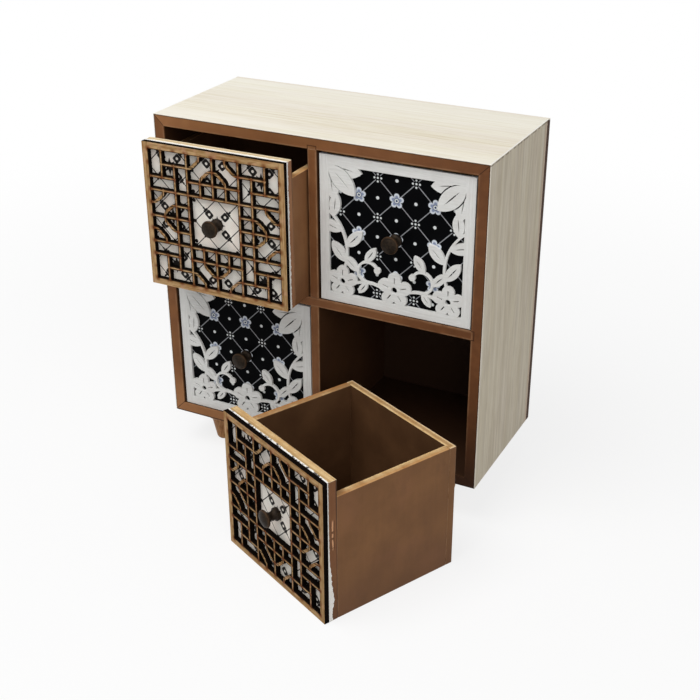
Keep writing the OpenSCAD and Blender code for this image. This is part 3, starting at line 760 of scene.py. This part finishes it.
def pale_print(drawer):
    """Off-white paper with a printed tile pattern on its face and dark glue along its back."""
    g = Graph("pale_print_" + drawer, drawer_place(drawer))
    hatch = g.math("SINE", (g.x - g.z) * 4.4) * 0.5 + 0.5
    hatch = hatch * g.blobs(7, 0.35, 0.65, detail=3, seed=3)
    paper = g.mix(g.blobs(16, 0.35, 0.65, detail=4), "fffaf0", "faeee2")
    paper = g.mix(hatch * 0.2, paper, "a39a94")
    on_face = g.inside(-0.6 - g.facing[1], 0.2)
    ink = g.mix(g.noise(3, seed=2), "0f0d0c", "241f1d")
    colour = g.mix(tile_ink(g) * on_face, paper, ink)
    colour = g.mix(1 - on_face, colour, "f1ede6")
    colour = g.mix((1 - on_face) * g.inside(g.y + 0.45), colour, "6b4a30")
    return g.finish(colour, 0.65, g.noise(0.7, seed=4) * 0.03, specular=0.15)


def bronze(drawer):
    """Antique bronze: dark in its hollows, brown where hands wear it, with rings turned in the head."""
    g = Graph("bronze_" + drawer, drawer_place(drawer))
    head_at = -7.5
    radius = g.length(g.x, g.z)
    rings = g.math("SINE", radius * 6.5) * g.inside(head_at - g.y, 1)
    patina = g.blobs(2.2, 0.35, 0.7, detail=4, roughness=0.65)
    colour = g.mix(patina, "1b140e", "30261c")
    rim = g.between(radius, 4.8, 6.0)
    colour = g.mix(rim * g.noise(3, detail=3, seed=2) * 0.8, colour, "543c26")
    relief = rings * 0.035 + g.noise(0.7, detail=3, seed=3) * 0.03
    return g.finish(colour, 0.45 + patina * 0.2, relief, metallic=0.7, specular=0.25)


def steel(name, place):
    """Brushed steel with dull spots."""
    g = Graph(name, place)
    brushed = g.noise((0.3, 4, 0.3), detail=3)
    spots = g.blobs(1.1, 0.55, 0.75, detail=3, seed=2)
    colour = g.mix(spots * 0.5, "b9bcbd", "8c8f90")
    return g.finish(colour, 0.32 + brushed * 0.2, brushed * 0.02, metallic=1.0)


# ---- Finishes on the model's nodes ----

MERGE_WITHIN = 1e-6
ROUNDED_FROM = math.radians(40)
SHARP_FROM = math.radians(50)


def edges_that_show(name, angle):
    """A geometry modifier that shades a mesh smooth, but for edges sharper than the angle."""
    tree = bpy.data.node_groups.new(name, "GeometryNodeTree")
    tree.interface.new_socket("Geometry", in_out="INPUT", socket_type="NodeSocketGeometry")
    tree.interface.new_socket("Geometry", in_out="OUTPUT", socket_type="NodeSocketGeometry")
    start = tree.nodes.new("NodeGroupInput")
    end = tree.nodes.new("NodeGroupOutput")
    plain = tree.nodes.new("GeometryNodeRemoveAttribute")
    plain.inputs["Name"].default_value = "custom_normal"
    smooth = tree.nodes.new("GeometryNodeSetShadeSmooth")
    smooth.domain = "FACE"
    crisp = tree.nodes.new("GeometryNodeSetShadeSmooth")
    crisp.domain = "EDGE"
    bend = tree.nodes.new("GeometryNodeInputMeshEdgeAngle")
    gentle = tree.nodes.new("FunctionNodeCompare")
    gentle.operation = "LESS_THAN"
    gentle.inputs[1].default_value = angle
    tree.links.new(bend.outputs["Unsigned Angle"], gentle.inputs[0])
    tree.links.new(start.outputs[0], plain.inputs["Geometry"])
    tree.links.new(plain.outputs["Geometry"], smooth.inputs["Geometry"])
    tree.links.new(smooth.outputs["Geometry"], crisp.inputs["Geometry"])
    tree.links.new(gentle.outputs[0], crisp.inputs["Shade Smooth"])
    tree.links.new(crisp.outputs["Geometry"], end.inputs[0])
    return tree


SHADING = edges_that_show("crisp_edges", SHARP_FROM)


def dress(node, material, bevel=0.0):
    """Gives a node its material and, in modifiers, joined faces, rounded edges and clean shading."""
    obj = NODES[node]
    obj.material_slots[0].material = material
    weld = obj.modifiers.new("weld", "WELD")
    weld.merge_threshold = MERGE_WITHIN
    if bevel:
        rounding = obj.modifiers.new("rounding", "BEVEL")
        rounding.width = bevel * MM
        rounding.segments = 2
        rounding.limit_method = "ANGLE"
        rounding.angle_limit = ROUNDED_FROM
        rounding.use_clamp_overlap = True
    shading = obj.modifiers.new("shading", "NODES")
    shading.node_group = SHADING
    even = obj.modifiers.new("even", "WEIGHTED_NORMAL")
    even.keep_sharp = True


def dress_cabinet():
    level = brown_board("brown_board_level", "x")
    upright = brown_board("brown_board_upright", "z")
    for node in ("top_panel", "bottom_panel", "middle_shelf"):
        dress(node, level, bevel=0.55)
    for node in ("left_side_panel", "right_side_panel", "centre_divider"):
        dress(node, upright, bevel=0.55)
    dress("outer_wrap", pale_paper(), bevel=0.12)
    dress("back_panel", back_board())
    dress("back_panel_nails", steel("steel_nails", CABINET_PLACE))
    for node in BODIES["cabinet"]:
        if node.startswith("foot"):
            dress(node, foot_wood("foot_wood_" + node, node))


# How much paint ran onto the top edge of each piece of a drawer's box
STAINED = {"left_wall": 0.75, "back_wall": 0.1, "right_wall": 0.35, "floor": 0.0}


def dress_drawer(drawer):
    dress(drawer + "_front", front_board(drawer), bevel=0.4)
    for piece, stained in STAINED.items():
        # Painted shade: the tops of the open drawer's left and back walls, which lie in shadow, get the
        # box's paint instead of bare board
        painted = drawer == OPEN_DRAWER and piece in ("left_wall", "back_wall")
        dress(f"{drawer}_{piece}", drawer_board(drawer, piece, stained, painted), bevel=0.5)
    if drawer in LATTICE_DRAWERS:
        dress(drawer + "_print", pale_print(drawer))
        dress(drawer + "_overlay", lattice_wood(drawer), bevel=0.28)
    else:
        dress(drawer + "_print", dark_print(drawer))
        dress(drawer + "_overlay", white_cutout(drawer), bevel=0.16)
    dress(drawer + "_knob", bronze(drawer))
    dress(drawer + "_screw", steel("steel_" + drawer, drawer_place(drawer)))


# ---- Torn edges of the printed sheets ----

# In millimetres: how thick a strip is, how far its cross sections lie apart, how far it stops short of
# each end of the edge, and how far it may be torn back from the front board into the sheet's own edge
PAPER_T = 0.1
TORN_STEP = 0.7
TORN_END = 0.3
TORN_BACK = -0.5


def torn_paper(name, burnt_share):
    """The white core of the printed sheet where it is torn, with loose fibres.

    burnt_share is how much of it the laser has blackened.
    """
    g = Graph(name, CABINET_PLACE)
    fibres = g.noise((0.5, 2, 2), detail=4, roughness=0.7)
    colour = g.mix(g.between(fibres, 0.3, 0.7), "f6f2e8", "fffefb")
    black_from = 0.72 - burnt_share * 0.4
    black = g.blobs(4, black_from, black_from + 0.04, detail=4, roughness=0.6, seed=2)
    colour = g.mix(black * 0.9, colour, "2a1c12")
    return g.finish(colour, 0.8, fibres * 0.08, specular=0.2)


def width_at(widths, share):
    """The width at a share of the way along a strip, on a line through the listed widths."""
    at = share * (len(widths) - 1)
    below = min(int(at), len(widths) - 2)
    return widths[below] + (widths[below + 1] - widths[below]) * (at - below)


def torn_rings(rng, length, widths, on_top):
    """The corners of a strip's cross sections, from one end of the board's edge to the other."""

    def point(along, reach, height):
        """A point on the edge: along it, over it towards the back, and off its surface."""
        if on_top:
            return Vector((along, reach, FACE_H / 2 + height)) * MM
        return Vector((FACE_W / 2 + height, reach, along)) * MM

    start = -PRINT_T
    steps = round(length / TORN_STEP)
    rings = []
    for i in range(steps + 1):
        share = i / steps
        along = (share - 0.5) * length
        width = width_at(widths, share)
        ragged = rng.uniform(-0.28, 0.28) + 0.2 * math.sin(i * 0.9) + 0.12 * math.sin(i * 2.3)
        width += ragged * min(1, 0.35 + max(width, 0))
        reach = max(width, TORN_BACK) - start
        lift = (0, 0, 0.04, 0.1 + rng.uniform(0, 0.12) * min(width, 2))
        last = len(lift) - 1
        corners = [(start + reach * c / last, height) for c, height in enumerate(lift)]
        upper = [point(along, at, height + PAPER_T) for at, height in corners]
        lower = [point(along, at, height) for at, height in corners]
        rings.append(upper + lower[::-1])
    return rings


def mesh_through(name, rings):
    """A closed mesh through rings of points, with a face over each end."""
    mesh = bmesh.new()
    rows = [[mesh.verts.new(point) for point in ring] for ring in rings]
    for first, second in zip(rows, rows[1:]):
        for i in range(len(first)):
            j = (i + 1) % len(first)
            mesh.faces.new((first[i], first[j], second[j], second[i]))
    mesh.faces.new(rows[0][::-1])
    mesh.faces.new(rows[-1])
    bmesh.ops.recalc_face_normals(mesh, faces=mesh.faces)
    data = bpy.data.meshes.new(name)
    mesh.to_mesh(data)
    mesh.free()
    return data


def torn_strip(drawer, edge, widths, material):
    """A strip of paper folded over the top or the right side of the front board, with a ragged far side.

    It starts at the printed sheet's face. widths gives how far it reaches over the board, at even steps
    from the foot up or from the left.
    """
    name = f"{drawer}_torn_{edge}"
    on_top = edge == "top"
    length = (FACE_W if on_top else FACE_H) - 2 * TORN_END
    data = mesh_through(name, torn_rings(random.Random(name), length, widths, on_top))
    centre, turn = drawer_place(drawer)
    data.transform(Matrix.Translation(centre) @ Matrix.Rotation(turn, 4, "Z"))
    data.materials.append(material)
    strip = bpy.data.objects.new(name, data)
    bpy.context.scene.collection.objects.link(strip)
    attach(strip, "drawer_" + drawer)


def add_torn_paper():
    """Strips on the right and on top of both lattice drawers."""
    clean = torn_paper("torn_paper_clean", 0.1)
    burnt = torn_paper("torn_paper_scorched", 0.5)
    torn_strip(OPEN_DRAWER, "side", [0.9, 0.5, 0.8, 0.3, 0.6, 0.2, 0.5], clean)
    torn_strip(OPEN_DRAWER, "top", [0.2, 0.7, 0.1, 0.4, 0.8, 0.3], clean)
    torn_strip(OUT_DRAWER, "side",
               [1.6, 1.3, 2.0, 3.1, 2.4, 1.6, 1.2, 0.9, 0.4, -0.1, -0.1, -0.3, -0.3, -0.4]
               + [TORN_BACK] * 7, clean)
    torn_strip(OUT_DRAWER, "top", [0.0, 0.2, 0.0, 0.4, 0.1, 0.3, 0.0], burnt)


# ---- Camera, light and floor ----

CAMERA_AT = Vector((0.3694, -0.6660, 0.5001))  # from the middle of the cabinet's front, on the floor
CAMERA_RIGHT = Vector((0.89052, 0.45492, -0.00336))
CAMERA_DOWN = Vector((0.20558, -0.40900, -0.88907))
FOCAL_LENGTH = 62
SENSOR = 36
LAMP_TARGET = CABINET_PLACE[0] + Vector((0, 0, 0.12))  # near the middle of the cabinet's front
FLOOR_AT = -0.2 * MM
GLOW_FROM = 200  # millimetres from the middle of the floor
GLOW_FULL = 900


def add_camera():
    data = bpy.data.cameras.new("camera")
    data.lens = FOCAL_LENGTH
    data.sensor_width = SENSOR
    camera = bpy.data.objects.new("camera", data)
    bpy.context.scene.collection.objects.link(camera)
    up = -CAMERA_DOWN
    axes = Matrix((CAMERA_RIGHT, up, CAMERA_RIGHT.cross(up))).transposed()
    camera.matrix_world = Matrix.Translation(CABINET_PLACE[0] + CAMERA_AT) @ axes.to_4x4()
    bpy.context.scene.camera = camera


def add_lamp(name, at, size, power):
    """A soft square lamp that faces the cabinet's front. at is its place, seen from there."""
    data = bpy.data.lights.new(name, "AREA")
    data.shape = "SQUARE"
    data.size = size
    data.energy = power
    lamp = bpy.data.objects.new(name, data)
    bpy.context.scene.collection.objects.link(lamp)
    lamp.location = LAMP_TARGET + Vector(at)
    lamp.rotation_euler = (-Vector(at)).to_track_quat("-Z", "Y").to_euler()


def seen_share(tree):
    """1 for camera, glossy and transmission rays, and 0 for the rays that carry light."""
    path = tree.nodes.new("ShaderNodeLightPath")
    total = path.outputs["Is Camera Ray"]
    for other in ("Is Glossy Ray", "Is Transmission Ray"):
        either = tree.nodes.new("ShaderNodeMath")
        either.operation = "MAXIMUM"
        tree.links.new(total, either.inputs[0])
        tree.links.new(path.outputs[other], either.inputs[1])
        total = either.outputs[0]
    return total


def add_world(strength):
    """White where it is seen or mirrored, and a dim even light for the rest."""
    world = bpy.data.worlds.new("world")
    bpy.context.scene.world = world
    world.use_nodes = True
    tree = world.node_tree
    background = tree.nodes["Background"]
    background.inputs["Color"].default_value = (1, 1, 1, 1)
    level = tree.nodes.new("ShaderNodeMapRange")
    level.inputs["To Min"].default_value = strength
    level.inputs["To Max"].default_value = 1
    tree.links.new(seen_share(tree), level.inputs["Value"])
    tree.links.new(level.outputs["Result"], background.inputs["Strength"])


def add_floor(extent=12, cells=24):
    """A white floor that keeps a soft shadow near the cabinet and is plain white further off."""
    mesh = bmesh.new()
    bmesh.ops.create_grid(mesh, x_segments=cells, y_segments=cells, size=extent)
    data = bpy.data.meshes.new("floor")
    mesh.to_mesh(data)
    mesh.free()
    floor = bpy.data.objects.new("floor", data)
    bpy.context.scene.collection.objects.link(floor)
    floor.location = (0, 0, FLOOR_AT)
    g = Graph("floor", (Vector((0, 0, 0)), 0))
    seen = Value(g, seen_share(g.tree))
    g.finish(g.mix(seen, "cccccc", "fcfcfc"), 0.9, specular=0.0)
    glow = g.node("ShaderNodeEmission")
    share = g.between(g.length(g.x, g.y), GLOW_FROM, GLOW_FULL) * 0.2 + 0.8
    mixed = g.node("ShaderNodeMixShader")
    g.feed(mixed.inputs[0], share * seen)
    g.feed(mixed.inputs[1], g.shader.outputs[0])
    g.feed(mixed.inputs[2], glow.outputs[0])
    g.feed(g.tree.nodes["Material Output"].inputs["Surface"], mixed.outputs[0])
    data.materials.append(g.material)


bpy.context.scene.view_settings.view_transform = "Standard"
add_camera()
add_lamp("key", at=(-0.35, -0.6, 1.45), size=1.1, power=17.5)
add_lamp("fill", at=(1.3, -1.3, 0.9), size=1.4, power=11)
add_world(strength=0.25)
add_floor()
dress_cabinet()
for each in DRAWERS:
    dress_drawer(each)
add_torn_paper()
